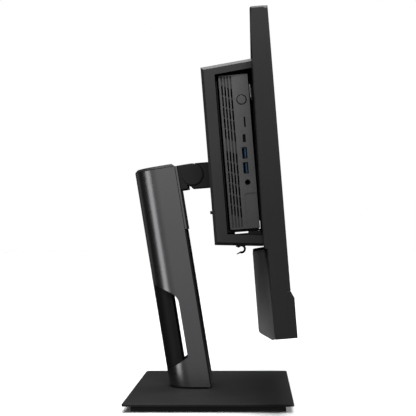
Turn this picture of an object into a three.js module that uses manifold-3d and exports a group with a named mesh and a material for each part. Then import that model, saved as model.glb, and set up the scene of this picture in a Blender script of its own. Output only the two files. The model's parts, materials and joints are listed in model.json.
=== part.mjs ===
// A modular all-in-one computer: a flat display on a leaning, height-adjustable stand,
// with a small one-litre computer docked in a frame behind the screen.
// Millimetres, +Z up. The origin is the centre of the base's underside, on the desk.
// The screen faces -Y, so the user's left is -X, the side from which the computer slides out.

import * as THREE from 'three';
import { mergeVertices } from 'three/addons/utils/BufferGeometryUtils.js';
import Module from 'manifold-3d';

const wasm = await Module();
wasm.setup();

// ---------------------------------------------------------------- driving dimensions

const GAP = 0.3;                // clearance between pieces that touch
const SMOOTH = 24;              // sides of an ordinary round

const BASE = { width: 300, depth: 191.4, top: 10, plate: 3, inset: 9, clearance: 0.6 };
const PAD = { radius: 8, thickness: 1.8, corner: 20 };
const SWIVEL = { y: 26.6, bolt: 4, head: 8, washer: 24, nut: 8 };

const COLUMN = {
  y: -0.5, z: 12, lean: THREE.MathUtils.degToRad(9.3),
  half: 28.5, roundCentre: 24.4, height: 275.5, wall: 2.5, bevel: 3.4, face: 2.2, rim: 5.7,
};
const NOTCH = { front: 23.5, bottom: 40.3, top: 111.5, cornerV: 28, cornerW: 118.5 };
const SPINE = { half: 21.8, front: 31, coreHalf: 14, coreFront: 33, coreRear: 45 };
const SLOT = { half: 13, bottom: 168, top: 270.5 };

const PIVOT = { y: 24.2, z: 270.1, v: -17.33, w: 258.7, ear: 13.7, shaft: 4 };
const TILT = THREE.MathUtils.degToRad(4.63);
const BRACKET = { half: 24, earInner: 17, back: -0.9, plate: 2.7, lip: 242.8, lipEnd: -9.5 };

const SCREEN = {
  half: 260, front: -101.5, top: 152.2, bottom: -185.7, lip: 2.4, bezelDepth: 4,
  chinTop: -137.8, chinFront: -104.8, chinSlope: 7.3,
  backTop: -83.1, backLow: -78.75, shelf: -93.1, seam: -82, wall: 2.4,
};
const DOCK = { half: 100, flange: 3, skin: 2.5, bevel: 3.4 };
const PC = {
  front: -95, rear: 88, high: 107.5, low: -71.5, back: -42.3, depth: 34.5, bezel: 5, sheet: 1.2,
};
const VENT = {
  rows: 4, pitch: 3.5, first: 3.6, groove: 0.95, grooveDepth: 2.4, slot: 0.85,
  start: 12, shift: 1.34, length: 11, step: 12.56, count: 12, blank: 5,
};

// ---------------------------------------------------------------- materials

function paint(color, roughness, metalness) {
  return new THREE.MeshStandardMaterial({ color, roughness, metalness });
}
const darkPaint = paint(0x2c2c2e, 0.55, 0.3);
const columnPaint = paint(0x4a4b4e, 0.4, 0.7);
const blackPlastic = paint(0x1c1c1e, 0.6, 0);
const charcoal = paint(0x303133, 0.65, 0);
const steel = paint(0x9a9b9e, 0.35, 1);
const rubber = paint(0x121212, 0.9, 0);
const board = paint(0x14402a, 0.6, 0);
const screenBlack = paint(0x08090b, 0.25, 0);
const portBlue = paint(0x1d5f9c, 0.5, 0);

// ---------------------------------------------------------------- shape helpers

const asSide = new THREE.Matrix4().makeBasis(
  new THREE.Vector3(0, 1, 0), new THREE.Vector3(0, 0, 1), new THREE.Vector3(1, 0, 0));

// A closed outline; a corner given as [a, b, r] is rounded with radius about r.
function outline(corners) {
  const shape = new THREE.Shape();
  const count = corners.length;
  corners.forEach(([a, b, r = 0], i) => {
    const here = new THREE.Vector2(a, b);
    const before = new THREE.Vector2(...corners[(i + count - 1) % count]);
    const after = new THREE.Vector2(...corners[(i + 1) % count]);
    const enter = here.clone().add(before.sub(here).setLength(r));
    const leave = here.clone().add(after.sub(here).setLength(r));
    if (i === 0) shape.moveTo(enter.x, enter.y);
    else shape.lineTo(enter.x, enter.y);
    if (r > 0) shape.quadraticCurveTo(a, b, leave.x, leave.y);
  });
  shape.closePath();
  return shape;
}

// Extrudes an outline drawn in X and Y upwards, from z = low to z = high.
function upright(shape, low, high, options = {}) {
  const geometry = new THREE.ExtrudeGeometry(shape, {
    depth: high - low, bevelEnabled: false, curveSegments: 5, ...options });
  return geometry.translate(0, 0, low);
}

// Extrudes an outline drawn in Y and Z sideways, from x = low to x = high.
function sideways(shape, low, high, options = {}) {
  const geometry = new THREE.ExtrudeGeometry(shape, {
    depth: high - low, bevelEnabled: false, curveSegments: 5, ...options });
  return geometry.applyMatrix4(asSide).translate(low, 0, 0);
}

// A block given by its lowest and highest corners.
function block(x0, y0, z0, x1, y1, z1) {
  const geometry = new THREE.BoxGeometry(x1 - x0, y1 - y0, z1 - z0);
  return geometry.translate((x0 + x1) / 2, (y0 + y1) / 2, (z0 + z1) / 2);
}

// A disc or rod along +Z.
function rodZ(x, y, radius, z0, z1, sides = SMOOTH) {
  return new THREE.CylinderGeometry(radius, radius, z1 - z0, sides)
    .rotateX(Math.PI / 2).translate(x, y, (z0 + z1) / 2);
}

// A disc or rod along +X.
function rodX(y, z, radius, x0, x1, sides = SMOOTH) {
  return new THREE.CylinderGeometry(radius, radius, x1 - x0, sides)
    .rotateZ(Math.PI / 2).translate((x0 + x1) / 2, y, z);
}

// A disc or rod along +Y.
function rodY(x, z, radius, y0, y1, sides = SMOOTH) {
  return new THREE.CylinderGeometry(radius, radius, y1 - y0, sides).translate(x, (y0 + y1) / 2, z);
}

// ---------------------------------------------------------------- booleans

function solid(geometry) {
  const bare = geometry.clone();
  bare.deleteAttribute('normal');
  bare.deleteAttribute('uv');
  const merged = mergeVertices(bare, 1e-4);
  return new wasm.Manifold(new wasm.Mesh({
    numProp: 3,
    vertProperties: new Float32Array(merged.attributes.position.array),
    triVerts: new Uint32Array(merged.index.array),
  }));
}

function surface(body) {
  const mesh = body.getMesh();
  const geometry = new THREE.BufferGeometry();
  geometry.setAttribute('position', new THREE.BufferAttribute(new Float32Array(mesh.vertProperties), 3));
  geometry.setIndex(new THREE.BufferAttribute(new Uint32Array(mesh.triVerts), 1));
  geometry.computeVertexNormals();
  return geometry;
}

const cut = (body, ...tools) => tools.reduce((left, tool) => left.subtract(solid(tool)), body);
const join = (body, ...others) => others.reduce((whole, other) => whole.add(solid(other)), body);

function add(parent, name, shape, material) {
  const geometry = shape.isBufferGeometry ? shape : surface(shape);
  const mesh = new THREE.Mesh(geometry, material);
  mesh.name = name;
  parent.add(mesh);
}

// ---------------------------------------------------------------- base

function basePlate() {
  const [x, y] = [BASE.width / 2, BASE.depth / 2];
  const plan = outline([[-x, -y, 3], [x, -y, 3], [x, y, 3], [-x, y, 3]]);
  const plate = solid(upright(plan, BASE.top - BASE.plate, BASE.top));
  return cut(plate, rodZ(0, SWIVEL.y, SWIVEL.bolt + GAP, 0, 20));
}

const trayTop = BASE.top - BASE.plate - GAP;
const trayX = BASE.width / 2 - BASE.inset;
const trayY = BASE.depth / 2 - BASE.inset;
const trayFloor = 3.2;
const padPlaces = [[-1, -1], [1, -1], [1, 1], [-1, 1]].map(
  ([sx, sy]) => [sx * (trayX - PAD.corner), sy * (trayY - PAD.corner)]);

function baseTray() {
  const rim = 3;
  const shell = cut(
    solid(block(-trayX, -trayY, BASE.clearance, trayX, trayY, trayTop)),
    block(rim - trayX, rim - trayY, trayFloor, trayX - rim, trayY - rim, 20));
  const pockets = padPlaces.map(([x, y]) => rodZ(x, y, PAD.radius + GAP, 0, PAD.thickness + GAP));
  return cut(shell, ...pockets);
}

function ballast() {
  const edge = 3 + GAP;
  const [x, y] = [trayX - edge, trayY - edge];
  const plate = solid(block(-x, -y, trayFloor + GAP, x, y, trayTop));
  return cut(plate, rodZ(0, SWIVEL.y, SWIVEL.head + 1, 0, 20));
}

function swivelBolt() {
  const head = solid(rodZ(0, SWIVEL.y, SWIVEL.head, trayFloor + GAP, trayTop, 6));
  return join(head, rodZ(0, SWIVEL.y, SWIVEL.bolt, 5, 27));
}

function swivelWasher() {
  const disc = solid(rodZ(0, SWIVEL.y, SWIVEL.washer, BASE.top + GAP, COLUMN.z - GAP, 40));
  return cut(disc, rodZ(0, SWIVEL.y, SWIVEL.bolt + GAP, 0, 20));
}

function buildBase(group) {
  add(group, 'base_top_plate', basePlate(), darkPaint);
  add(group, 'base_tray', baseTray(), blackPlastic);
  add(group, 'ballast_plate', ballast(), steel);
  padPlaces.forEach(([x, y], i) => {
    add(group, `foot_pad_${i + 1}`, rodZ(x, y, PAD.radius, 0, PAD.thickness), rubber);
  });
  add(group, 'swivel_bolt', swivelBolt(), steel);
  add(group, 'swivel_washer', swivelWasher(), blackPlastic);
}

// ---------------------------------------------------------------- column
// The column's own frame leans back: X across, Y its depth from the front face, Z along its length.

// The column's plan: a flat front, straight sides and a half-round back, drawn inset from the outside.
function columnPlan(inset, front = COLUMN.face + inset) {
  const half = COLUMN.half - inset;
  const shape = new THREE.Shape();
  shape.moveTo(-half, front);
  shape.lineTo(half, front);
  shape.lineTo(half, COLUMN.roundCentre);
  shape.absarc(0, COLUMN.roundCentre, half, 0, Math.PI, false);
  shape.closePath();
  return shape;
}

const roundBack = { curveSegments: 20 };
const shellTop = COLUMN.height - COLUMN.bevel - GAP;

// Everything below a level of the desk's frame, as a tool in the leaning frame.
function below(level) {
  const tool = block(-80, -200, -400, 80, 200, 0);
  return tool.rotateX(COLUMN.lean).translate(
    0, -(level - COLUMN.z) * Math.sin(COLUMN.lean), (level - COLUMN.z) * Math.cos(COLUMN.lean));
}

// The cable opening's side outline, grown outwards by a distance.
function notchOutline(grow = 0) {
  return outline([
    [NOTCH.front - grow, NOTCH.bottom - grow],
    [80, NOTCH.bottom - grow - (80 - NOTCH.front) * 0.47],
    [80, NOTCH.cornerW + grow + (80 - NOTCH.cornerV) * 0.67],
    [NOTCH.cornerV - grow * 0.4, NOTCH.cornerW + grow, 3],
    [NOTCH.front - grow, NOTCH.top + grow, 4],
  ]);
}

function columnShell() {
  const body = solid(upright(columnPlan(0), -10, shellTop, roundBack));
  const hollow = upright(columnPlan(COLUMN.wall), -30, shellTop - COLUMN.wall, roundBack);
  const mouth = upright(columnPlan(COLUMN.rim), 100, COLUMN.height + 10, roundBack);
  const skin = cut(body, hollow, mouth);
  const room = solid(upright(columnPlan(COLUMN.wall - 0.5), 0, COLUMN.height - 10, roundBack));
  const [across, front, rear] = [SPINE.coreHalf + 0.5, SPINE.coreFront - 0.5, SPINE.coreRear + 0.5];
  const webs = cut(
    solid(sideways(notchOutline(2), -40, 40)).intersect(room),
    block(-across, front, -30, across, rear, 300),
    below(30));
  return cut(
    skin.add(webs),
    sideways(notchOutline(), -40, 40),
    block(-SLOT.half, -5, SLOT.bottom, SLOT.half, COLUMN.face + COLUMN.wall + 1, SLOT.top),
    below(COLUMN.z));
}

function columnFoot() {
  const thick = 8;
  const [sine, cosine] = [Math.sin(COLUMN.lean), Math.cos(COLUMN.lean)];
  const plug = solid(upright(columnPlan(COLUMN.wall + GAP), -20, 60, roundBack));
  const bolt = rodZ(0, 0, SWIVEL.bolt + GAP, -60, 60).rotateX(COLUMN.lean);
  const along = SWIVEL.y - COLUMN.y;
  const hole = bolt.translate(0, along * cosine, along * sine);
  const above = block(-80, -200, 0, 80, 200, 400)
    .rotateX(COLUMN.lean).translate(0, -thick * sine, thick * cosine);
  return cut(plug, below(COLUMN.z), hole, above);
}

// The black rear spine: a hollow core inside the column, flush with its back in the cable opening.
function columnSpine() {
  const half = SPINE.half;
  const centre = COLUMN.roundCentre + COLUMN.half - half;
  const plan = new THREE.Shape();
  plan.moveTo(-half, SPINE.front);
  plan.lineTo(half, SPINE.front);
  plan.lineTo(half, centre);
  plan.absarc(0, centre, half, 0, Math.PI, false);
  plan.closePath();
  const opening = solid(sideways(notchOutline(-GAP), -40, 40));
  const bulge = solid(upright(plan, 0, 200, roundBack)).intersect(opening);
  const core = solid(block(-SPINE.coreHalf, SPINE.coreFront, 24, SPINE.coreHalf, SPINE.coreRear, 240));
  const wall = 2.2;
  const channel = block(
    wall - SPINE.coreHalf, SPINE.coreFront + wall, 0, SPINE.coreHalf - wall, SPINE.coreRear - wall, 300);
  return cut(core.add(bulge), channel);
}

function channelTrim() {
  const plate = solid(block(-25, 0.6, 1.5, 25, COLUMN.face - GAP, 272));
  return cut(plate, block(-SLOT.half - GAP, 0, SLOT.bottom, SLOT.half + GAP, 5, SLOT.top));
}

const spring = { y: 12.6, radius: 6.3, low: 44, high: 158, rod: 2.5 };

function springCylinder() {
  const { radius, low, high, rod } = spring;
  const bore = rod + GAP;
  const floor = low + 4;
  const profile = [
    [0, low], [radius, low], [radius, high - 3], [radius - 1, high],
    [bore, high], [bore, floor], [0, floor]];
  const points = profile.map(([r, z]) => new THREE.Vector2(r, z));
  return new THREE.LatheGeometry(points, 20).rotateX(Math.PI / 2).translate(0, spring.y, 0);
}

function swivelNut() {
  const nut = solid(rodZ(0, SWIVEL.y, SWIVEL.nut, COLUMN.z + 8 + GAP, COLUMN.z + 14, 6));
  return cut(nut, rodZ(0, SWIVEL.y, SWIVEL.bolt + GAP, 0, 60));
}

// A chamfered lid over the whole column, with a plug that fits its open top.
function columnCap() {
  const { height, bevel, wall, rim } = COLUMN;
  const thin = 0.4;
  const plan = upright(columnPlan(0), height - bevel, height - bevel + thin, roundBack);
  const chamfer = upright(columnPlan(0), height - bevel + 0.1, height - bevel + thin, {
    bevelEnabled: true, bevelThickness: bevel - thin, bevelSize: bevel - thin,
    bevelOffset: thin - bevel, bevelSegments: 1, ...roundBack });
  const lid = solid(chamfer).subtract(solid(block(-80, -80, 0, 80, 80, height - bevel)));
  return join(lid, plan, upright(columnPlan(rim + GAP), shellTop - wall + 0.5, height - 1, roundBack));
}

function buildColumn(group) {
  add(group, 'column_shell', columnShell(), columnPaint);
  add(group, 'column_foot', columnFoot(), darkPaint);
  add(group, 'column_spine', columnSpine(), blackPlastic);
  add(group, 'column_cap', columnCap(), blackPlastic);
  add(group, 'channel_trim', channelTrim(), blackPlastic);
  add(group, 'lift_rail_left', block(-22.5, 6, 60, -18.5, 18, 268), steel);
  add(group, 'lift_rail_right', block(18.5, 6, 60, 22.5, 18, 268), steel);
  add(group, 'gas_spring_cylinder', springCylinder(), blackPlastic);
}

// ---------------------------------------------------------------- lift carriage and tilt hinge

function liftCarriage() {
  const truck = solid(block(-17.8, 5.2, 226, 17.8, 19.5, 268));
  return join(truck, block(-12, 0.6, 236, 12, 6, shellTop - COLUMN.wall - 0.4));
}

function carriageCover() {
  const [low, high] = [194.6, 272.2];
  const skin = solid(block(-26.2, -0.6, low, 26.2, GAP, high));
  return join(skin, block(-26.2, 0, low, -25.3, 1.9, high), block(25.3, 0, low, 26.2, 1.9, high));
}

function hingeBracket() {
  const { v, w, ear } = PIVOT;
  const { back, lip, lipEnd, half, earInner } = BRACKET;
  const side = new THREE.Shape();
  const reach = Math.asin((lipEnd - v) / ear);
  side.moveTo(back, lip);
  side.lineTo(lipEnd, lip);
  side.lineTo(lipEnd, w - ear * Math.cos(reach));
  side.absarc(v, w, ear, reach - Math.PI / 2, Math.PI / 2, true);
  side.lineTo(back, w + ear);
  side.closePath();
  const smooth = { curveSegments: 28 };
  const plate = solid(block(-half, back - BRACKET.plate, lip, half, back, w + ear));
  return cut(
    join(plate, sideways(side, -half, -earInner, smooth), sideways(side, earInner, half, smooth)),
    rodX(v, w, PIVOT.shaft + GAP, -40, 40));
}

// The shaft that the screen tilts on, riveted over into a wide flat cap at each end.
function tiltShaft() {
  const { v, w, shaft } = PIVOT;
  const [near, far, cap] = [BRACKET.half + GAP, BRACKET.half + 1.4, 12.4];
  const rod = solid(rodX(v, w, shaft, -near - 0.1, near + 0.1));
  return join(rod, rodX(v, w, cap, near, far, 40), rodX(v, w, cap, -far, -near, 40));
}

function buildCarriage(group) {
  add(group, 'lift_carriage', liftCarriage(), steel);
  add(group, 'carriage_cover', carriageCover(), columnPaint);
  add(group, 'hinge_bracket', hingeBracket(), charcoal);
  add(group, 'tilt_shaft', tiltShaft(), charcoal);
  add(group, 'gas_spring_rod', rodZ(0, spring.y, spring.rod, 110, 225.7, 16), steel);
}

// ---------------------------------------------------------------- head
// The head's own frame has its origin on the tilt axis and leans back with the screen:
// X across, Y from the screen to the back, Z up along the screen.

function tiltArm() {
  const clear = PIVOT.ear + 0.6;
  const top = 13.7;
  const bottom = -16.1;
  const side = new THREE.Shape();
  side.moveTo(-22.8, bottom);
  side.lineTo(1.7, bottom);
  side.lineTo(1.7, -Math.sqrt(clear ** 2 - 1.7 ** 2));
  const from = -Math.acos(1.7 / clear);
  const to = -Math.PI - Math.asin(top / clear);
  side.absarc(0, 0, clear, from, to, true);
  side.lineTo(-22.8, top);
  side.closePath();
  const barrel = 12.4;
  return cut(
    join(
      solid(sideways(side, -BRACKET.half, BRACKET.half, { curveSegments: 28 })),
      rodX(0, 0, barrel, -16.4, 16.4, 32),
      block(-16.4, -22.8, -11, 16.4, 0, 11)),
    rodX(0, 0, PIVOT.shaft + GAP, -40, 40));
}

// Where the display's back lies at a height: it thickens slightly towards the bottom.
function backAt(z) {
  const t = (SCREEN.top - z) / (SCREEN.top - SCREEN.shelf);
  return SCREEN.backTop + (SCREEN.backLow - SCREEN.backTop) * t;
}

const dockTop = (y) => 118.1 - 0.1005 * (y + 23.1);
const dockLow = (y) => -87.1 + 0.1026 * (y + 23.1);

// The dock's side outline, open towards the display, drawn inset from the outside.
function dockOutline(inset, front) {
  const rear = -23.1 - inset;
  return outline([
    [rear, dockLow(rear) + inset], [rear, dockTop(rear) - inset],
    [front, dockTop(front) - inset], [front, dockLow(front) + inset]]);
}

const release = { x: -70, z: -48.9, head: 1.9, stem: 1.4, end: -19.9 };

function dockFrame() {
  const { half, flange, skin, bevel } = DOCK;
  const reach = -95;
  const outside = solid(sideways(dockOutline(0, reach), bevel - half, half - bevel, {
    bevelEnabled: true, bevelThickness: bevel, bevelSize: bevel, bevelOffset: -bevel, bevelSegments: 1 }));
  const bay = outline([[-38.6, -75.8], [-38.6, 108.6], [-110, 115.8], [-110, -83.1]]);
  const farBay = outline([
    [-44.3, -76.4], [-44.3, 109.2], [-76.2, 112.4], [-76.2, -61.5], [-79.9, -61.5],
    [-79.9, -72], [-76.2, -72], [-76.2, -76.4]]);
  const front = outline([
    [backAt(140) + GAP, 140], [backAt(-110) + GAP, -110], [-130, -110], [-130, 140]]);
  return cut(
    outside,
    sideways(dockOutline(skin, -110), flange - half, half - flange),
    sideways(bay, -150, half - flange),
    sideways(farBay, 0, 150),
    sideways(front, -150, 150),
    rodY(release.x, release.z, release.head + GAP, -30, -10));
}

const hook = { y: -52.2, z: -95.4, inner: 3.05, thick: 2.5, half: 6, foot: 5.6 };

function cableHook() {
  const { y, z, inner, thick, half, foot } = hook;
  const outer = inner + thick;
  const [start, end] = [0.18 * Math.PI, 1.62 * Math.PI];
  const ring = new THREE.Shape();
  ring.absarc(y, z, outer, start, end, false);
  ring.lineTo(y + 6.4, z - 6.6);
  ring.lineTo(y + 5.8, z - 5.2);
  ring.absarc(y, z, inner, end, start, true);
  ring.closePath();
  const ceiling = dockLow(y - foot) - GAP;
  const base = outline([
    [y - foot, ceiling - 1], [y - foot, ceiling], [y + foot + 1, ceiling], [y + foot + 1, ceiling - 1],
    [y + foot - 2, ceiling - 2.4], [y - foot + 2, ceiling - 2.4]]);
  return cut(
    join(solid(sideways(ring, -half, half, { curveSegments: 20 })), sideways(base, -half, half)),
    rodX(y, z, inner, -half - 1, half + 1, 40),
    block(-half - 1, y - 20, ceiling, half + 1, y + 20, ceiling + 20));
}

// A folded steel angle: a web behind the computer, a foot under it and an upturned stop at the far end.
function bayLiner() {
  const [low, high, stop] = [-74.3, 107.2, PC.rear + 0.6];
  const web = solid(block(-92, -40.4, low, 92, -39, high));
  return join(
    web,
    block(-92, -75.8, low, 92, -39.5, PC.low - 0.4),
    block(stop, -75.8, low, 92, -39.5, -68),
    block(stop, -75.8, -76.2, 92, -62, -68));
}

function adapterPlate() {
  const [low, high] = [-60, 110];
  const thick = 1.8;
  const side = outline([
    [backAt(low) + GAP, low], [backAt(low) + thick, low],
    [backAt(high) + thick, high], [backAt(high) + GAP, high]]);
  return sideways(side, -80, 80);
}

// A steel leaf with a rolled end, which steadies the docked computer.
function baySpring() {
  const [y, low, high] = [-78.2, 79.5, 95];
  const leaf = solid(block(-93, y - 0.4, low, -62, y + 0.4, high));
  return join(leaf, rodZ(-93, y, 0.95, low, high, 16), block(-70, -79.7, low, -62, y, high));
}

function latchBlock() {
  const side = outline([[-62.7, -74.6], [-62.7, -78], [-77.5, -79.4], [-77.5, -74.6]]);
  return sideways(side, -93, -80);
}

function dockConnector() {
  return join(
    solid(block(89.4, -70, -30, 99, -44.7, 60)),
    block(80, -60, -20, 90, -54, 10));
}

function releaseButton() {
  const { x, z, head, stem, end } = release;
  return join(solid(rodY(x, z, head, -24.6, end, 20)), rodY(x, z, stem, -34, -24, 16));
}

function backCover() {
  const { half, front, bezelDepth, top, bottom, backTop, backLow, shelf, seam, wall } = SCREEN;
  const edge = front + bezelDepth + GAP;
  const outside = outline([
    [edge, bottom], [seam, bottom], [seam, shelf], [backLow, shelf, 1], [backTop, top, 2.5], [edge, top]]);
  const inside = outline([
    [edge - 5, bottom + wall], [seam - wall, bottom + wall], [seam - wall, shelf + wall],
    [backAt(shelf) - wall, shelf + wall], [backTop - wall, top - wall], [edge - 5, top - wall]]);
  return cut(solid(sideways(outside, -half, half)), sideways(inside, wall - half, half - wall));
}

const inlet = { x: 70, z: -150, halfX: 14, halfZ: 10 };
const portStrip = { x: 20, z: -150, halfX: 26, halfZ: 8 };

const housing = { top: -98, bottom: -186.4, topHalf: 105, lowHalf: 256, back: -65.95 };

// The housing as seen from behind: narrow at the top and as wide as the screen at the bottom.
function housingTaper(inset) {
  const { top, bottom, topHalf, lowHalf } = housing;
  const [high, low] = [top + 6, bottom - 6];
  const run = ((lowHalf - topHalf) * 6) / (top - bottom);
  const [near, wide] = [topHalf - run - inset, lowHalf + run - inset];
  const shape = outline([[-wide, low], [wide, low], [near, high], [-near, high]]);
  return new THREE.ExtrudeGeometry(shape, { depth: 60, bevelEnabled: false })
    .rotateX(Math.PI / 2).translate(0, -40, 0);
}

// A window in the housing's rear wall for a socket block.
function housingWindow({ x, z, halfX, halfZ }) {
  return block(x - halfX - GAP, -90, z - halfZ - GAP, x + halfX + GAP, -50, z + halfZ + GAP);
}

function lowerHousing() {
  const { half, seam, wall } = SCREEN;
  const { top, bottom, back } = housing;
  const front = seam + GAP;
  const outside = outline([
    [front, top + 1.6], [front, bottom + 0.7], [-79.5, bottom, 1], [back, -178.4, 2.5], [back, top, 1.5]]);
  const inside = outline([
    [front - 5, top - wall + 1.6], [front - 5, bottom + wall], [-80.3, bottom + wall],
    [back - wall, -177.4, 2], [back - wall, top - wall, 1]]);
  const shell = solid(sideways(outside, -half, half)).intersect(solid(housingTaper(0)));
  const hollow = solid(sideways(inside, -half, half)).intersect(solid(housingTaper(wall + 1.5)));
  return cut(shell.subtract(hollow), housingWindow(inlet), housingWindow(portStrip));
}

function powerInlet() {
  const { x, z, halfX, halfZ } = inlet;
  const body = solid(block(x - halfX, -80.5, z - halfZ, x + halfX, -66.8, z + halfZ));
  return cut(body, block(x - 12, -78, z - 8, x + 12, -60, z + 8));
}

function portPanel() {
  const { x, z, halfX, halfZ } = portStrip;
  const [deep, face] = [-74, -67.4];
  const plate = solid(block(x - halfX, -76, z - halfZ, x + halfX, face, z + halfZ));
  const sockets = [[-16, 7.5, 2.5], [1, 7.5, 2.5], [16, 4, 4]];
  const hollow = cut(plate, ...sockets.map(([dx, half, high]) => block(
    x + dx - half, deep, z - high, x + dx + half, face + 5, z + high)));
  return join(hollow, ...sockets.map(([dx, half, high]) => block(
    x + dx - half + 1.4, deep - 0.5, z - high / 3, x + dx + half - 1.4, face - 1, z + high / 3)));
}

function frontBezel() {
  const { half, front, bezelDepth, top, lip, chinTop } = SCREEN;
  const low = chinTop + GAP;
  return cut(
    solid(block(-half, front, low, half, front + bezelDepth, top)),
    block(lip - half, front - 5, low + 2, half - lip, front + 9, top - lip));
}

const keys = { count: 3, x: 196, pitch: 14, halfX: 5, y: -101, halfY: 1.8, travel: 1 };
const keyX = (i) => keys.x + i * keys.pitch;

function chinBar() {
  const { half, front, bezelDepth, bottom, chinTop, chinFront, chinSlope } = SCREEN;
  const back = front + bezelDepth;
  const side = outline([
    [back, bottom], [back, chinTop], [front, chinTop],
    [chinFront, chinTop - chinSlope], [chinFront, bottom, 0.6]]);
  const pockets = Array.from({ length: keys.count }, (_, i) => block(
    keyX(i) - keys.halfX - 0.4, keys.y - keys.halfY - 0.4, bottom - 5,
    keyX(i) + keys.halfX + 0.4, keys.y + keys.halfY + 0.4, bottom + 5));
  return cut(solid(sideways(side, -half, half)), ...pockets);
}

function keyCap(i) {
  const { bottom } = SCREEN;
  return block(keyX(i) - keys.halfX, keys.y - keys.halfY, bottom - 1.2,
    keyX(i) + keys.halfX, keys.y + keys.halfY, bottom + 3.4);
}

function backlightPan() {
  const [x, low, high] = [256, -134.4, 148.8];
  const pan = solid(block(-x, -95.5, low, x, -91.5, high));
  return cut(pan, block(1 - x, -94.5, low + 1, x - 1, -80, high - 1));
}

// A circuit board with square chips, each given by its centre, half width and height.
function boardWithChips(x0, x1, y, z0, z1, chips) {
  const face = y + 1.6;
  return join(
    solid(block(x0, y, z0, x1, face, z1)),
    ...chips.map(([x, z, half, tall]) => block(
      x - half, face - 0.6, z - half, x + half, face + tall, z + half)));
}

const scalerChips = [[-90, -90, 12, 1.5], [-55, -75, 6, 1.5]];
const powerChips = [[-30, -115, 9, 8], [5, -115, 7, 8]];
const speaker = { x: 145, halfX: 30, low: -172, high: -148, front: -81.2, back: -70 };

function buildHead(group) {
  const { half, front, lip, top, chinTop } = SCREEN;
  add(group, 'tilt_arm', tiltArm(), charcoal);
  add(group, 'dock_frame', dockFrame(), charcoal);
  add(group, 'mount_plate', block(-55, -28.4, -55, 55, -26.2, 55), steel);
  add(group, 'bay_liner', bayLiner(), steel);
  add(group, 'adapter_plate', adapterPlate(), darkPaint);
  add(group, 'bay_spring', baySpring(), steel);
  add(group, 'dock_latch', latchBlock(), blackPlastic);
  add(group, 'dock_connector', dockConnector(), blackPlastic);
  add(group, 'dock_release_button', releaseButton(), blackPlastic);
  add(group, 'cable_hook', cableHook(), blackPlastic);
  add(group, 'back_cover', backCover(), charcoal);
  add(group, 'lower_rear_housing', lowerHousing(), charcoal);
  add(group, 'power_inlet', powerInlet(), blackPlastic);
  add(group, 'port_panel', portPanel(), steel);
  add(group, 'front_bezel', frontBezel(), charcoal);
  add(group, 'chin_bar', chinBar(), charcoal);
  const glassHalf = half - lip - GAP;
  const glassTop = top - lip - GAP;
  add(group, 'display_panel', block(
    -glassHalf, front + 0.5, chinTop + 2.6, glassHalf, front + 2.3, glassTop), screenBlack);
  add(group, 'backlight_pan', backlightPan(), steel);
  add(group, 'scaler_board', boardWithChips(-150, -30, -91.2, -125, -55, scalerChips), board);
  add(group, 'power_board', boardWithChips(-60, 30, -81.2, -128, -104, powerChips), board);
  ['speaker_left', 'speaker_right'].forEach((name, i) => {
    const x = speaker.x * (2 * i - 1);
    add(group, name, block(x - speaker.halfX, speaker.front, speaker.low,
      x + speaker.halfX, speaker.back, speaker.high), blackPlastic);
  });
  ['display_power_key', 'menu_key_1', 'menu_key_2'].forEach((name, i) => {
    add(group, name, keyCap(i), blackPlastic);
  });
}

// ---------------------------------------------------------------- docked computer

const pcNear = PC.back - PC.depth;

// Ports on the computer's front, by height and depth on its face.
const PORTS = {
  button: { y: -67.4, z: 77.9, radius: 6 },
  card: { y: -69, z: 51.95, halfY: 0.75, halfZ: 5.75 },
  usbC: { y: -66.9, z: 33.3, halfY: 1.6, halfZ: 4.45 },
  usbUpper: { y: -66, z: 16.2, halfY: 2.9, halfZ: 6.5 },
  usbLower: { y: -66, z: -1.15, halfY: 2.9, halfZ: 6.5 },
  audio: { y: -66.8, z: -17.8, radius: 3.3 },
};

const bezelBack = PC.front + PC.bezel;

function portHole({ y, z, halfY, halfZ }) {
  const [wide, tall] = [halfY + 0.1, halfZ + 0.1];
  return block(PC.front - 2, y - wide, z - tall, bezelBack + 2, y + wide, z + tall);
}

// The grooves along the rear edge of the front, each with a row of slots cut through its floor.
function ventCuts() {
  const { front, high, low, back } = PC;
  const cuts = [];
  for (let row = 0; row < VENT.rows; row += 1) {
    const y = back - VENT.first - row * VENT.pitch;
    cuts.push(block(
      front - 1, y - VENT.groove, low + 2.2, front + VENT.grooveDepth, y + VENT.groove, high - 1.8));
    for (let i = 0; i < VENT.count; i += 1) {
      const start = high - VENT.start - row * VENT.shift - i * VENT.step;
      const slot = block(
        front - 1, y - VENT.slot, start - VENT.length, bezelBack + 1, y + VENT.slot, start);
      if (i !== VENT.blank) cuts.push(slot);
    }
  }
  return cuts;
}

function pcBezel() {
  const { front, high, low, back } = PC;
  const [left, right, floor, ceiling] = [pcNear + 0.2, back - 0.2, low + 0.2, high - 0.2];
  const face = outline([
    [left, floor, 1.2], [right, floor, 1.2], [right, ceiling, 1.2], [left, ceiling, 1.2]]);
  const badgeField = outline([
    [pcNear + 0.9, low + 2.5], [pcNear + 14.9, low + 2.5], [pcNear + 14.9, low + 41.2, 4.5],
    [pcNear + 0.9, low + 41.2]]);
  const { button, card, usbC, usbUpper, usbLower, audio } = PORTS;
  return cut(
    solid(sideways(face, front, bezelBack)),
    ...ventCuts(),
    rodX(button.y, button.z, button.radius, front - 1, bezelBack + 1, 32),
    rodX(audio.y, audio.z, audio.radius, front - 1, bezelBack + 1, 20),
    portHole(card), portHole(usbC), portHole(usbUpper), portHole(usbLower),
    sideways(badgeField, front - 1, front + 0.6));
}

const caseStart = bezelBack + GAP;

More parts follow.
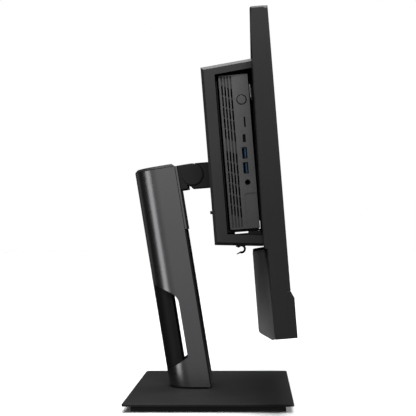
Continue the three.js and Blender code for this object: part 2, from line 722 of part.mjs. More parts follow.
function pcChassis() {
  const { rear, high, low, back, sheet } = PC;
  const top = back - sheet - GAP;
  const tray = cut(
    solid(block(caseStart, pcNear, low, rear, top, high)),
    block(caseStart - 5, pcNear + sheet, low + sheet, rear - sheet, back, high - sheet));
  return cut(tray, block(rear - 5, -61, -21, rear + 5, -53, 11));
}

function pcCover() {
  const { rear, high, low, back, sheet } = PC;
  return block(caseStart, back - sheet, low, rear, back, high);
}

const fan = { x: -8, z: 58, radius: 24, high: -47, low: -62 };

// The processor cooler: a base, a row of fins and the round well that the fan turns in.
function cooler() {
  const base = solid(block(-70, -69.9, 20, 20, -66.5, 96));
  const fins = Array.from({ length: 8 }, (_, i) => block(-68 + i * 3.6, -67, 22, -66.8 + i * 3.6, -48, 94));
  const well = block(fan.x - 27, -67, fan.z - 27, fan.x + 27, fan.high, fan.z + 27);
  return cut(join(base, ...fins, well), rodY(fan.x, fan.z, fan.radius + 1, fan.low - 1, 0, 32));
}

function fanRotor() {
  const hub = solid(rodY(fan.x, fan.z, 9, fan.low, fan.high, 20));
  const count = 9;
  const blades = Array.from({ length: count }, (_, i) => block(
    6, fan.low + 1, -0.6, fan.radius, fan.high - 1, 0.6)
    .rotateY((i * 2 * Math.PI) / count).translate(fan.x, 0, fan.z));
  return join(hub, ...blades);
}

function usbSocket({ y, z, halfY, halfZ }) {
  const [near, far] = [PC.front + 0.4, PC.front + 12];
  const shell = solid(block(near, y - halfY, z - halfZ, far, y + halfY, z + halfZ));
  const [insideY, insideZ] = [halfY - 0.5, halfZ - 0.5];
  const hollow = cut(shell, block(near - 1, y - insideY, z - insideZ, far - 1, y + insideY, z + insideZ));
  return join(hollow, block(near + 0.6, y - 1.6, z - halfZ + 1, far - 0.5, y + 0.2, z + halfZ - 1));
}

function usbCSocket() {
  const { y, z, halfY, halfZ } = PORTS.usbC;
  const [near, far] = [PC.front + 0.4, PC.front + 10];
  const oval = (r, h) => outline([
    [y - r, z - h, r], [y + r, z - h, r], [y + r, z + h, r], [y - r, z + h, r]]);
  const shell = cut(
    solid(sideways(oval(halfY, halfZ), near, far)),
    sideways(oval(halfY - 0.35, halfZ - 0.35), near - 1, far - 1));
  return join(shell, block(near + 0.6, y - 0.35, z - 3, far - 0.5, y + 0.35, z + 3));
}

function audioSocket() {
  const { y, z, radius } = PORTS.audio;
  return cut(
    solid(rodX(y, z, radius - 0.15, PC.front + 0.3, PC.front + 13, 20)),
    rodX(y, z, 2.6, PC.front - 1, PC.front + 11, 16));
}

function powerButton() {
  const { y, z, radius } = PORTS.button;
  const cap = solid(rodX(y, z, radius - 0.9, PC.front + 0.1, PC.front + 4, 32));
  return join(cap, rodX(y, z, 2, PC.front + 3, PC.front + 7.5, 16));
}

function buildComputer(group) {
  add(group, 'pc_front_bezel', pcBezel(), charcoal);
  add(group, 'pc_chassis', pcChassis(), darkPaint);
  add(group, 'pc_side_cover', pcCover(), darkPaint);
  add(group, 'pc_main_board', block(-80, -72.6, -66, 76, -71, 101), board);
  add(group, 'pc_cooler', cooler(), steel);
  add(group, 'pc_fan_rotor', fanRotor(), blackPlastic);
  add(group, 'pc_drive', block(-40, -70, -64, 60, -63, 6), steel);
  add(group, 'pc_usb_port_upper', usbSocket(PORTS.usbUpper), portBlue);
  add(group, 'pc_usb_port_lower', usbSocket(PORTS.usbLower), portBlue);
  add(group, 'pc_usb_c_port', usbCSocket(), steel);
  add(group, 'pc_audio_jack', audioSocket(), blackPlastic);
  add(group, 'pc_power_button', powerButton(), charcoal);
}

// ---------------------------------------------------------------- assembly

const computer = new THREE.Group();
buildBase(computer);
add(computer, 'swivel_nut', swivelNut(), steel);

const leaning = new THREE.Group();
leaning.position.set(0, COLUMN.y, COLUMN.z);
leaning.rotation.x = -COLUMN.lean;
buildColumn(leaning);
buildCarriage(leaning);

const head = new THREE.Group();
head.position.set(0, PIVOT.y, PIVOT.z);
head.rotation.x = -TILT;
buildHead(head);
buildComputer(head);

computer.add(leaning, head);

export default computer;
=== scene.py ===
import json
import math

import bmesh
import bpy
from mathutils import Matrix, Vector


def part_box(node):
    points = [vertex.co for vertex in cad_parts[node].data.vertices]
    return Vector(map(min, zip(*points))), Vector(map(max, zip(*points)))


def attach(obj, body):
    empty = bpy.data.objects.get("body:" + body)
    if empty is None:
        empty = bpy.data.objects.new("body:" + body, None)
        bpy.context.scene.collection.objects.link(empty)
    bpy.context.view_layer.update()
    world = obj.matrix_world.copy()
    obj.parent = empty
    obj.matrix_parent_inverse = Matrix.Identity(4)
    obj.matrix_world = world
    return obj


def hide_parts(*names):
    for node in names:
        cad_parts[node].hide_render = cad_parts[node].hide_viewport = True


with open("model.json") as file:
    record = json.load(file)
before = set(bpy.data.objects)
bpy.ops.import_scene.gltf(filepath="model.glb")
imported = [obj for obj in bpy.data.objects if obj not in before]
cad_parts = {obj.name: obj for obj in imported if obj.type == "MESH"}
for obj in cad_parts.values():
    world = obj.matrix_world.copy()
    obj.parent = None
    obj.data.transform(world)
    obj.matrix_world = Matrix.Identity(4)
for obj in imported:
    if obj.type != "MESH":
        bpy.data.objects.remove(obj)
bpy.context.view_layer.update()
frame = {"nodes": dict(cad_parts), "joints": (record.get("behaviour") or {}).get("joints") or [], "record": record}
scene = bpy.context.scene

# ------------------------------------------------------------------ studio
# The computer stands side-on on white paper, before a level camera whose shift only frames the object.
# A sun overhead whitens the paper, softboxes stand beside, in front and, faintly, behind, and a tall
# strip behind draws the column's highlight. The paper lights nothing, so dark finishes stay dark.

camera_data = bpy.data.cameras.new("camera")
camera_data.sensor_width = 36
camera_data.lens = 98.22
camera_data.shift_x = -0.1104
camera_data.shift_y = 0.0541
camera = bpy.data.objects.new("camera", camera_data)
camera.location = (-1.405, -0.051, 0.202)
camera.rotation_euler = (math.pi / 2, 0, -math.pi / 2)
scene.collection.objects.link(camera)
scene.camera = camera
scene.view_settings.view_transform = "Standard"


def lamp(name, kind, place, target, power, **settings):
    """A light at a place, turned to face a target."""
    data = bpy.data.lights.new(name, kind)
    data.energy = power
    for setting, value in settings.items():
        setattr(data, setting, value)
    light = bpy.data.objects.new(name, data)
    light.location = place
    light.rotation_euler = (Vector(target) - Vector(place)).to_track_quat("-Z", "Y").to_euler()
    scene.collection.objects.link(light)


lamp("overhead_sun", "SUN", (0, 0, 3), (0, 0, 0), 3.3, angle=math.radians(50))
lamp("side_softbox", "AREA", (-0.95, -0.05, 1.25), (-0.05, 0, 0.25), 13,
     shape="RECTANGLE", size=0.5, size_y=0.5)
lamp("rear_strip", "AREA", (-1.10, 1.46, 0.10), (0, 0.05, 0.20), 8.6,
     shape="RECTANGLE", size=0.72, size_y=2.4)
lamp("rear_fill", "AREA", (1.00, 1.40, 0.60), (0, 0, 0.20), 0.6, shape="RECTANGLE", size=0.8, size_y=1.6)
lamp("front_softbox", "AREA", (0.80, -1.60, 1.00), (0, 0, 0.20), 22,
     shape="RECTANGLE", size=1.2, size_y=1.0)


class Channel:
    """One output of a shader node. Sums and products of it add Math nodes to its tree."""

    def __init__(self, tree, socket=None):
        self.tree = tree
        self.socket = socket

    def node(self, kind, settings, values, output=0):
        """Adds a node: its settings first, then the value or link of each socket."""
        made = self.tree.nodes.new("ShaderNode" + kind)
        for setting, value in settings.items():
            if setting == "stops":
                for stop, (position, colour) in zip(made.color_ramp.elements, value):
                    stop.position, stop.color = position, colour
            else:
                setattr(made, setting, value)
        for key, value in values.items():
            named = [socket for socket in made.inputs if socket.enabled and socket.name == key]
            self.feed(named[0] if named else made.inputs[key], value)
        return Channel(self.tree, made.outputs[output])

    def feed(self, target, value):
        """Links an output to a socket, or sets the socket to a plain value."""
        if isinstance(value, Channel):
            self.tree.links.new(value.socket, target)
        else:
            target.default_value = value

    def mix(self, low, high):
        """The colour between two colours, this value being the share of the second."""
        return self.node("Mix", {"data_type": "RGBA"}, {"Factor": self, "A": low, "B": high}, 2)

    def calculate(self, operation, left, right=0.0):
        return self.node("Math", {"operation": operation}, {0: left, 1: right})

    def __add__(self, other):
        return self.calculate("ADD", self, other)

    def __sub__(self, other):
        return self.calculate("SUBTRACT", self, other)

    def __rsub__(self, other):
        return self.calculate("SUBTRACT", other, self)

    def __mul__(self, other):
        return self.calculate("MULTIPLY", self, other)

    __radd__ = __add__
    __rmul__ = __mul__


# The room's own light: a pale wall on the camera's side that darkens downwards, and a glow from straight
# below. Only the camera sees the white backdrop.
AMBIENT = 0.02
WALL_LIGHT = 0.40
WALL_SHADING = 3.8
WALL_TOP = 1.45
WALL_SPREAD = 4.0
GLOW_LIGHT = 0.9
GLOW_START = 0.6

world = bpy.data.worlds.new("studio")
world.use_nodes = True
scene.world = world
world.node_tree.nodes.clear()
sky = Channel(world.node_tree)
direction = sky.node("TexCoord", {}, {}, "Generated")
facing = sky.calculate("MAXIMUM", 0.0 - sky.node("SeparateXYZ", {}, {"Vector": direction}, "X"))
upward = sky.node("SeparateXYZ", {}, {"Vector": direction}, "Z")
shading = sky.calculate("MINIMUM", sky.calculate("EXPONENT", WALL_SHADING * upward), WALL_TOP)
wall = sky.calculate("POWER", facing, WALL_SPREAD) * (WALL_LIGHT * shading)
glow = sky.calculate("MAXIMUM", 0.0 - upward - GLOW_START)
strength = AMBIENT + wall + GLOW_LIGHT * glow
room = sky.node("Background", {}, {"Color": (1, 1, 1, 1), "Strength": strength})
backdrop = sky.node("Background", {}, {"Color": (1, 1, 1, 1), "Strength": 1.0})
seen = sky.node("LightPath", {}, {}, "Is Camera Ray")
dome = sky.node("MixShader", {}, {0: seen, 1: room, 2: backdrop})
world_output = world.node_tree.nodes.new("ShaderNodeOutputWorld")
sky.feed(world_output.inputs["Surface"], dome)

floor_mesh = bpy.data.meshes.new("floor")
floor_shape = bmesh.new()
bmesh.ops.create_grid(floor_shape, x_segments=1, y_segments=1, size=9)
floor_shape.to_mesh(floor_mesh)
floor_shape.free()
floor = bpy.data.objects.new("floor", floor_mesh)
scene.collection.objects.link(floor)
floor.visible_diffuse = False
floor.visible_glossy = False
floor.visible_shadow = False
paper = bpy.data.materials.new("paper")
paper.use_nodes = True
paper_shader = paper.node_tree.nodes["Principled BSDF"]
paper_shader.inputs["Base Color"].default_value = (0.94, 0.94, 0.94, 1)
paper_shader.inputs["Roughness"].default_value = 1.0
paper_shader.inputs["Specular IOR Level"].default_value = 0.0
floor.data.materials.append(paper)

# ------------------------------------------------------------------ base
# A thick steel plate with a fine sand-textured powder coat lies on a black moulded tray. The tray holds
# the ballast, stands on four rubber pads, and the swivel bolt comes up through both.

body_of = {}
for body, members in frame["record"]["behaviour"]["bodies"].items():
    for member in members:
        body_of[member] = body
slot_of = {part["node"]: part["material_slot"] for part in frame["record"]["subparts"]}


def finish(name, roughness, metallic=0.0, specular=0.5, coat=0.0):
    """A finish with its plain settings: the material, its shader, and a channel to build on."""
    material = bpy.data.materials.new(name)
    material.use_nodes = True
    shader = material.node_tree.nodes["Principled BSDF"]
    shader.inputs["Roughness"].default_value = roughness
    shader.inputs["Metallic"].default_value = metallic
    shader.inputs["Specular IOR Level"].default_value = specular
    shader.inputs["Coat Weight"].default_value = coat
    shader.inputs["Coat Roughness"].default_value = 0.2
    return material, shader, Channel(material.node_tree)


def grey(value, warmth=0.0):
    """A near-neutral colour, a little blue unless it is warmed."""
    return (value * (1 + warmth), value, value * (1.03 - warmth), 1)


def noise(channel, scale, detail=2.0, stretch=(1, 1, 1)):
    """Noise of so many features a metre, stretched along the axes."""
    place = channel.node("TexCoord", {}, {}, "Object")
    drawn = channel.node("Mapping", {}, {"Vector": place, "Scale": stretch})
    return channel.node("TexNoise", {}, {"Vector": drawn, "Scale": scale, "Detail": detail}, "Fac")


def grained(name, dark, light, roughness, grain, relief, **settings):
    """A coat or moulding with a fine grain, slightly uneven in tone and gloss from place to place."""
    material, shader, channel = finish(name, roughness, **settings)
    fine = noise(channel, grain, 4.0)
    broad = noise(channel, 11.0)
    tone = 0.65 * fine + 0.35 * broad
    contrast = channel.node("ValToRGB", {"stops": [(0.36, (0, 0, 0, 1)), (0.64, (1, 1, 1, 1))]}, {
        "Fac": tone})
    channel.feed(shader.inputs["Base Color"], contrast.mix(dark, light))
    channel.feed(shader.inputs["Roughness"], (roughness - 0.05) + 0.10 * broad)
    bump = channel.node("Bump", {}, {"Strength": 0.5, "Distance": relief, "Height": fine}, "Normal")
    channel.feed(shader.inputs["Normal"], bump)
    return material


# Faces that turn by more than this meet in a corner.
CORNER = math.radians(32)


def settle(name, shape, body, slot, *finishes):
    """Makes a piece of a bmesh: smooth but for its corners, with its finishes, riding on its body."""
    mesh = bpy.data.meshes.new(name)
    shape.to_mesh(mesh)
    shape.free()
    if "custom_normal" in mesh.attributes:
        mesh.attributes.remove(mesh.attributes["custom_normal"])
    mesh.shade_smooth()
    mesh.set_sharp_from_angle(angle=CORNER)
    for material in finishes:
        mesh.materials.append(material)
    piece = bpy.data.objects.new(name, mesh)
    scene.collection.objects.link(piece)
    piece.modifiers.new("flat_faces_stay_flat", "WEIGHTED_NORMAL").keep_sharp = True
    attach(piece, body)
    return piece


def stand_in(shape, node, *finishes):
    """Settles a shape that stands for one CAD node."""
    piece = settle(node + "_piece", shape, body_of[node], slot_of[node], *finishes)
    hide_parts(node)


def cad_shape(node):
    """A copy of a CAD node's shape with its loose triangles merged into whole faces."""
    shape = bmesh.new()
    shape.from_mesh(frame["nodes"][node].data)
    bmesh.ops.remove_doubles(shape, verts=shape.verts, dist=1e-6)
    bmesh.ops.dissolve_limit(
        shape, angle_limit=math.radians(0.5), verts=shape.verts, edges=shape.edges)
    return shape


def soften(shape, radius, segments=2, chosen=lambda edge: True):
    """Rounds the sharp edges of a shape, as a mould, a press or a brush leaves them."""
    ridges = [
        edge for edge in shape.edges
        if len(edge.link_faces) == 2 and edge.calc_face_angle() > CORNER and chosen(edge)]
    bmesh.ops.bevel(
        shape, geom=ridges, offset=radius, offset_type="OFFSET", segments=segments, profile=0.5,
        affect="EDGES", clamp_overlap=True, material=-1)


def eased(node, radius, material, segments=2):
    """Stands for a CAD node with the same shape and rounded edges."""
    shape = cad_shape(node)
    soften(shape, radius, segments)
    stand_in(shape, node, material)


def coat(material, *nodes):
    """Gives a finish to CAD nodes whose shape stays as it is."""
    for node in nodes:
        materials = frame["nodes"][node].data.materials
        materials.clear()
        materials.append(material)


def turned(profile, steps, axis_point):
    """A round shape spun about a vertical axis from (radius, height) points, from axis to axis."""
    shape = bmesh.new()
    line = [shape.verts.new((radius, 0, height)) for radius, height in profile]
    edges = [shape.edges.new(pair) for pair in zip(line, line[1:])]
    bmesh.ops.spin(
        shape, geom=line + edges, cent=(0, 0, 0), axis=(0, 0, 1), angle=2 * math.pi, steps=steps,
        use_merge=True)
    bmesh.ops.remove_doubles(shape, verts=shape.verts, dist=1e-6)
    bmesh.ops.recalc_face_normals(shape, faces=shape.faces)
    bmesh.ops.translate(shape, vec=axis_point, verts=shape.verts)
    return shape


powder_coat = grained("powder_coat", grey(0.009), grey(0.021), 0.66, 900.0, 0.00012, specular=0.22)
black_moulding = grained("black_moulding", grey(0.009), grey(0.014), 0.55, 1500.0, 0.00005, specular=0.3)
rubber = grained("pad_rubber", grey(0.008), grey(0.014), 0.85, 700.0, 0.0001, specular=0.2)


def plated(name, low, high, roughness, stretch, **settings):
    """Bare or plated metal with the fine lines of rolling or brushing along one direction."""
    material, shader, channel = finish(name, roughness, metallic=1.0, **settings)
    lines = noise(channel, 60.0, 3.0, stretch)
    cloud = noise(channel, 25.0)
    channel.feed(shader.inputs["Base Color"], cloud.mix(low, high))
    channel.feed(shader.inputs["Roughness"], (roughness - 0.08) + 0.16 * lines)
    bump = channel.node("Bump", {}, {"Strength": 0.25, "Distance": 0.00003, "Height": lines}, "Normal")
    channel.feed(shader.inputs["Normal"], bump)
    return material


zinc = plated("zinc_plate", grey(0.42, 0.02), grey(0.58, 0.02), 0.38, (1, 30, 30))

eased("base_top_plate", 0.0008, powder_coat, 3)
eased("base_tray", 0.0004, black_moulding)
eased("swivel_bolt", 0.0005, zinc)
eased("swivel_nut", 0.0005, zinc)
coat(zinc, "ballast_plate")
coat(black_moulding, "swivel_washer")

for pad_number in range(1, 5):
    pad = f"foot_pad_{pad_number}"
    low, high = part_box(pad)
    radius, tall = (high.x - low.x) / 2, high.z - low.z
    profile = [
        (0, 0.0003), (radius * 0.55, 0.0003), (radius * 0.68, 0), (radius - 0.0006, 0),
        (radius, 0.0005), (radius, tall), (0, tall)]
    centre = ((low.x + high.x) / 2, (low.y + high.y) / 2, low.z)
    stand_in(turned(profile, 40, centre), pad, rubber)

# ------------------------------------------------------------------ column
# An extruded aluminium column with a half-round back and a satin metallic paint. Its front carries a
# black trim with the lift slot, and a black steel spine shows in the cable opening through its back.


def metallic_paint(name, low, high, roughness):
    """Satin paint with metal flake: bright where it faces a light, dark elsewhere."""
    material, shader, channel = finish(name, roughness, metallic=1.0)
    flake = noise(channel, 2600.0)
    drift = noise(channel, 7.0)
    channel.feed(shader.inputs["Base Color"], (0.7 * flake + 0.3 * drift).mix(low, high))
    channel.feed(shader.inputs["Roughness"], (roughness - 0.04) + 0.08 * drift)
    bump = channel.node("Bump", {}, {"Strength": 0.3, "Distance": 0.00003, "Height": flake}, "Normal")
    channel.feed(shader.inputs["Normal"], bump)
    return material


column_paint = metallic_paint("column_paint", grey(0.17), grey(0.28), 0.27)
black_steel = grained("black_steel", grey(0.004), grey(0.007), 0.5, 1100.0, 0.00004, specular=0.2)

eased("column_shell", 0.0005, column_paint)
eased("column_foot", 0.0005, black_steel)
eased("column_spine", 0.0006, black_steel)
eased("column_cap", 0.0005, black_moulding)
eased("channel_trim", 0.0002, black_moulding)
eased("lift_rail_left", 0.0006, zinc)
eased("lift_rail_right", 0.0006, zinc)
eased("gas_spring_cylinder", 0.0004, black_steel)

# ------------------------------------------------------------------ lift carriage and hinge
# A steel truck slides on the rails behind a painted cover. It carries a cast bracket with two round
# ears, which hold the tilt shaft by its riveted ends.

charcoal_metal = grained(
    "charcoal_metal", grey(0.005), grey(0.009), 0.46, 1300.0, 0.00005, specular=0.35)

eased("lift_carriage", 0.0008, zinc)
eased("carriage_cover", 0.0002, column_paint)
eased("hinge_bracket", 0.0007, charcoal_metal, 3)
eased("tilt_shaft", 0.0005, charcoal_metal)
coat(zinc, "gas_spring_rod")

# ------------------------------------------------------------------ tilt arm and mount plate
# The cast arm turns on the shaft between the ears. A steel plate joins it to the dock's rear wall with
# four pan-head screws.

tilt_axis = next(joint for joint in frame["joints"] if joint["name"] == "power_key_press")["axis"]
tilt_joint = next(joint for joint in frame["joints"] if joint["name"] == "tilt")
head_lean = math.atan2(tilt_axis[1], tilt_axis[2])
head_place = Matrix.Translation(tilt_joint["pos_m"]) @ Matrix.Rotation(-head_lean, 4, "X")
head_inverse = head_place.inverted()


def in_head(node):
    """A node's lowest and highest corners in the head's own leaning frame."""
    places = [head_inverse @ vertex.co for vertex in frame["nodes"][node].data.vertices]
    return Vector(map(min, zip(*places))), Vector(map(max, zip(*places)))


def moved(shape, matrix):
    """Places a shape, and gives it back."""
    bmesh.ops.transform(shape, matrix=matrix, verts=shape.verts)
    return shape


def joined(shapes):
    """Several shapes as one loose set of shells."""
    whole = bmesh.new()
    for shape in shapes:
        part = bpy.data.meshes.new("part")
        shape.to_mesh(part)
        shape.free()
        whole.from_mesh(part)
        bpy.data.meshes.remove(part)
    return whole


def screws(name, places, radius, body):
    """Pan-head screws with a driver recess, facing +Y in the head's frame, at the middle of their seats."""
    facing_back = Matrix.Rotation(-math.pi / 2, 4, "X")
    recess = radius * 0.42
    deep = radius * 0.45
    dome = radius * 0.55
    profile = [
        (0, dome - deep), (recess, dome - deep), (recess, dome), (radius * 0.7, dome * 0.92),
        (radius * 0.93, dome * 0.6), (radius, 0), (0, 0)]
    shapes = [
        moved(turned(profile, 20, (0, 0, 0)), head_place @ Matrix.Translation(place) @ facing_back)
        for place in places]
    settle(name, joined(shapes), body, "steel", zinc)


eased("tilt_arm", 0.0009, charcoal_metal, 3)
eased("mount_plate", 0.0006, zinc)
low, high = in_head("mount_plate")
inset = 0.008
screws("mount_screws", [
    (x, high.y, z) for x in (low.x + inset, high.x - inset) for z in (low.z + inset, high.z - inset)],
    0.0035, "head")

# ------------------------------------------------------------------ dock
# A moulded open frame behind the screen holds the small computer. A black liner, a steel leaf and a
# latch guide it, a connector meets it at the far end, and a button in the rear lets it go.

dock_moulding = grained(
    "dock_moulding", grey(0.020), grey(0.030), 0.36, 1400.0, 0.00005, specular=0.5)


def beside_chamfer(edge):
    """Whether an edge borders the chamfer round the dock's sides."""
    return any(0.5 < abs(face.normal.x) < 0.9 for face in edge.link_faces)


dock = cad_shape("dock_frame")
soften(dock, 0.0012, 3, beside_chamfer)
soften(dock, 0.0003)
stand_in(dock, "dock_frame", dock_moulding)
eased("bay_liner", 0.0003, black_steel)
eased("adapter_plate", 0.0004, black_steel)
eased("bay_spring", 0.0002, zinc)
eased("dock_latch", 0.0004, black_moulding)
eased("dock_connector", 0.0004, black_moulding)
eased("dock_release_button", 0.0004, black_moulding)
eased("cable_hook", 0.0004, black_moulding)

# ------------------------------------------------------------------ display
# The back cover, the lower housing, the bezel and the chin are charcoal mouldings clipped together
# round a folded pan that carries the panel. Slots let the heat out at the top and behind the speakers.


display_moulding = grained(
    "display_moulding", grey(0.009), grey(0.015), 0.46, 1400.0, 0.00005, specular=0.45)


def slots(places, wide, tall, deep):
    """Upright slot-shaped cutters with rounded ends, centred on places in the head's frame."""
    cutter = bmesh.new()
    for place in places:
        size = Matrix.Diagonal((wide, deep, tall, 1))
        bmesh.ops.create_cube(cutter, size=1, matrix=Matrix.Translation(place) @ size)
    ends = [edge for edge in cutter.edges if abs(edge.verts[0].co.y - edge.verts[1].co.y) > deep / 2]
    bmesh.ops.bevel(
        cutter, geom=ends, offset=wide * 0.45, offset_type="OFFSET", segments=3, profile=0.5,
        affect="EDGES", clamp_overlap=True, material=-1)
    return moved(cutter, head_place)


def carved(shape, cutter):
    """A shape with a cutter's shape taken out of it."""
    pair = []
    for name, source in (("whole", shape), ("cutter", cutter)):
        mesh = bpy.data.meshes.new(name)
        source.to_mesh(mesh)
        source.free()
        pair.append(bpy.data.objects.new(name, mesh))
        scene.collection.objects.link(pair[-1])
    whole, tool = pair
    carving = whole.modifiers.new("carving", "BOOLEAN")
    carving.object = tool
    carving.operation = "DIFFERENCE"
    carving.solver = "EXACT"
    evaluated = whole.evaluated_get(bpy.context.evaluated_depsgraph_get())
    result = bmesh.new()
    result.from_mesh(evaluated.to_mesh())
    for made in pair:
        bpy.data.objects.remove(made)
    return result


def in_head_edge(edge):
    """The middle of an edge in the head's frame."""
    return head_inverse @ ((edge.verts[0].co + edge.verts[1].co) / 2)


def closed_up(node):
    """A moulding's shape with its front rim brought up to the one before it, as a clipped joint is."""
    shape = cad_shape(node)
    front = in_head(node)[0].y
    rim = [vertex for vertex in shape.verts if (head_inverse @ vertex.co).y < front + 0.0001]
    forward = head_place.to_3x3() @ Vector((0, -0.00024, 0))
    bmesh.ops.translate(shape, vec=forward, verts=rim)
    return shape


def chamfer_top(shape, node):
    """Cuts a chamfer along the two upper side edges of a display moulding."""
    high = in_head(node)[1]
    soften(shape, 0.0026, 1, lambda edge: (
        in_head_edge(edge).z > high.z - 0.004 and abs(in_head_edge(edge).x) > high.x - 0.0006))


low, high = in_head("back_cover")
cover = closed_up("back_cover")
chamfer_top(cover, "back_cover")
soften(cover, 0.0009, 3, lambda edge: (
    in_head_edge(edge).y > low.y + 0.001 and in_head_edge(edge).z < high.z - 0.003))
vent_pitch = 0.005
vents = [(step * vent_pitch, high.y, high.z - 0.017) for step in range(-40, 41) if abs(step) > 2]
vent_slots = slots(vents, wide=0.0018, tall=0.014, deep=0.014)
stand_in(carved(cover, vent_slots), "back_cover", display_moulding)

low, high = in_head("lower_rear_housing")
lower_housing = closed_up("lower_rear_housing")
soften(lower_housing, 0.0016, 4, lambda edge: in_head_edge(edge).z > high.z - 0.003)
soften(lower_housing, 0.0007, 2, lambda edge: in_head_edge(edge).z < high.z - 0.006)
speaker_low, speaker_high = in_head("speaker_right")
grille_x = (speaker_low.x + speaker_high.x) / 2
grille_z = (speaker_low.z + speaker_high.z) / 2
grille_pitch = 0.004
grilles = [
    (side * grille_x + step * grille_pitch, high.y, grille_z)
    for side in (-1, 1) for step in range(-6, 7)]
grille_slots = slots(grilles, wide=0.0016, tall=0.016, deep=0.012)
stand_in(carved(lower_housing, grille_slots), "lower_rear_housing", display_moulding)


def front_moulding(node):
    """A front moulding with every edge rounded but those that meet the back cover."""
    shape = cad_shape(node)
    back = in_head(node)[1].y
    if node == "front_bezel":
        chamfer_top(shape, node)
    soften(shape, 0.0006, 3, lambda edge: in_head_edge(edge).y < back - 0.0006)
    stand_in(shape, node, display_moulding)


front_moulding("front_bezel")
front_moulding("chin_bar")
for key in ("display_power_key", "menu_key_1", "menu_key_2"):
    eased(key, 0.0005, black_moulding)
eased("power_inlet", 0.0004, black_moulding)

# The mains inlet's three plated blades stand in its socket.
low, high = in_head("power_inlet")
middle_x, middle_z = (low.x + high.x) / 2, (low.z + high.z) / 2
blade_size = (0.0022, 0.0085, 0.0042)
blade_depth = 0.0072
blades = bmesh.new()
for across_x, up_z in ((-0.0065, -0.0015), (0, 0.0025), (0.0065, -0.0015)):
    size = Matrix.Diagonal((*blade_size, 1))
    centre = Vector((middle_x + across_x, high.y - blade_depth, middle_z + up_z))
    bmesh.ops.create_cube(blades, size=1, matrix=Matrix.Translation(centre) @ size)
soften(blades, 0.0003)
port_metal = plated("port_metal", grey(0.50, 0.02), grey(0.62, 0.02), 0.30, (30, 30, 1))
settle("inlet_blades", moved(blades, head_place), "head", "port_metal", port_metal)

eased("port_panel", 0.0002, zinc)

# The panel is black under an anti-glare film, and blacker round its edge where nothing lights up.
panel_film, panel_shader, film = finish("panel_film", 0.30, specular=0.5, coat=0.25)
low, high = in_head("display_panel")
point = film.node("TexCoord", {}, {}, "Object")
leaned = film.node("VectorRotate", {"rotation_type": "X_AXIS"}, {
    "Vector": point, "Center": tuple(tilt_joint["pos_m"]), "Angle": head_lean})
panel_x = film.node("SeparateXYZ", {}, {"Vector": leaned}, "X")
panel_z = film.node("SeparateXYZ", {}, {"Vector": leaned}, "Z")
height = tilt_joint["pos_m"][2] + (low.z + high.z) / 2
margin = 0.0045
beside = film.calculate("GREATER_THAN", film.calculate("ABSOLUTE", panel_x), high.x - margin)
above = film.calculate(
    "GREATER_THAN", film.calculate("ABSOLUTE", panel_z - height), (high.z - low.z) / 2 - margin)
border = film.calculate("MAXIMUM", beside, above)
sparkle = noise(film, 3500.0)
film.feed(panel_shader.inputs["Base Color"], border.mix(grey(0.0075), grey(0.0035)))
film.feed(panel_shader.inputs["Roughness"], 0.26 + 0.08 * sparkle)
film.feed(panel_shader.inputs["Normal"], film.node(
    "Bump", {}, {"Strength": 0.2, "Distance": 0.00002, "Height": sparkle}, "Normal"))
eased("display_panel", 0.0003, panel_film)

aluminium = plated("aluminium", grey(0.50), grey(0.62), 0.34, (30, 1, 30))
eased("backlight_pan", 0.0003, aluminium)

circuit, circuit_shader, tracks = finish("circuit_board", 0.45, specular=0.5)
grid = tracks.node("TexVoronoi", {"distance": "MANHATTAN"}, {
    "Vector": tracks.node("TexCoord", {}, {}, "Object"), "Scale": 420.0}, "Distance")
etched = tracks.calculate("GREATER_THAN", grid, 0.55)
tracks.feed(
    circuit_shader.inputs["Base Color"], etched.mix((0.006, 0.045, 0.022, 1), (0.02, 0.10, 0.05, 1)))
eased("scaler_board", 0.0002, circuit)
eased("power_board", 0.0002, circuit)
eased("speaker_left", 0.0008, black_moulding)
eased("speaker_right", 0.0008, black_moulding)

# ------------------------------------------------------------------ docked computer
# A one-litre computer of folded black steel with a moulded front. The front has four grooved rows of
# air slots with painted shade in the grooves, a power button, and sockets whose plated shells, in painted shade,
# stand just inside its face.

front_low, front_high = in_head("pc_front_bezel")


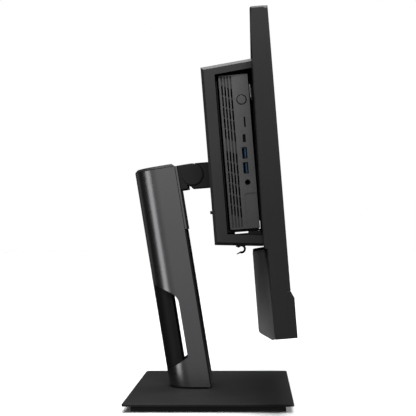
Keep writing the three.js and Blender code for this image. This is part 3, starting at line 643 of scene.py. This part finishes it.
def grooved(name, dark, light, shaded, **settings):
    """A grained moulding with painted shade at the bottom of its grooves, where light hardly reaches."""
    lip = 0.0008
    fade = 900.0
    material = grained(name, dark, light, 0.55, 1500.0, 0.00006, **settings)
    channel = Channel(material.node_tree)
    base = material.node_tree.nodes["Principled BSDF"].inputs["Base Color"]
    face_colour = Channel(material.node_tree, base.links[0].from_socket)
    place = channel.node("TexCoord", {}, {}, "Object")
    depth = channel.node("SeparateXYZ", {}, {"Vector": place}, "X") - (front_low.x + lip)
    share = channel.calculate("MINIMUM", depth * fade, 1.0)
    channel.feed(base, share.mix(face_colour, shaded))
    return material


# The third colour is the painted shade on the groove floors.
computer_front = grooved(
    "computer_front", grey(0.066), grey(0.118), grey(0.046), specular=0.4)


def on_outline(edge):
    """Whether an edge lies on the outside of the computer's front."""
    middle = in_head_edge(edge)
    near = 0.0013
    return (
        min(middle.y - front_low.y, front_high.y - middle.y) < near
        or min(middle.z - front_low.z, front_high.z - middle.z) < near)


front = cad_shape("pc_front_bezel")
soften(front, 0.0007, 3, on_outline)
stand_in(front, "pc_front_bezel", computer_front)
eased("pc_power_button", 0.0006, computer_front, 3)
eased("pc_chassis", 0.0004, black_steel)
eased("pc_side_cover", 0.0004, black_steel)
eased("pc_main_board", 0.0001, circuit)
anodised = plated("black_anodised", grey(0.006), grey(0.010), 0.5, (30, 1, 30))
eased("pc_cooler", 0.0002, anodised)
eased("pc_fan_rotor", 0.0002, black_moulding)
eased("pc_drive", 0.0005, aluminium)

blue_plastic = grained(
    "blue_plastic", (0.004, 0.045, 0.105, 1), (0.008, 0.066, 0.145, 1), 0.45, 1500.0, 0.00002)
# The socket shells take a darkened copy of the port metal: painted shade, as they sit just inside the face.
painted_shade_metal = plated("painted_shade_port_metal", grey(0.02), grey(0.03), 0.5, (30, 30, 1))
for port in ("pc_usb_port_upper", "pc_usb_port_lower"):
    low, high = in_head(port)
    socket = cad_shape(port)
    for face in socket.faces:
        centre = head_inverse @ face.calc_center_median()
        in_shell = min(centre.z - low.z, high.z - centre.z) < 0.0008
        in_depth = low.x + 0.0004 < centre.x < high.x - 0.0015
        on_tongue = low.y + 0.0010 < centre.y < low.y + 0.0045
        face.material_index = int(in_depth and on_tongue and not in_shell)
    soften(socket, 0.0001)
    stand_in(socket, port, painted_shade_metal, blue_plastic)
eased("pc_usb_c_port", 0.0001, painted_shade_metal)
eased("pc_audio_jack", 0.0002, black_moulding)
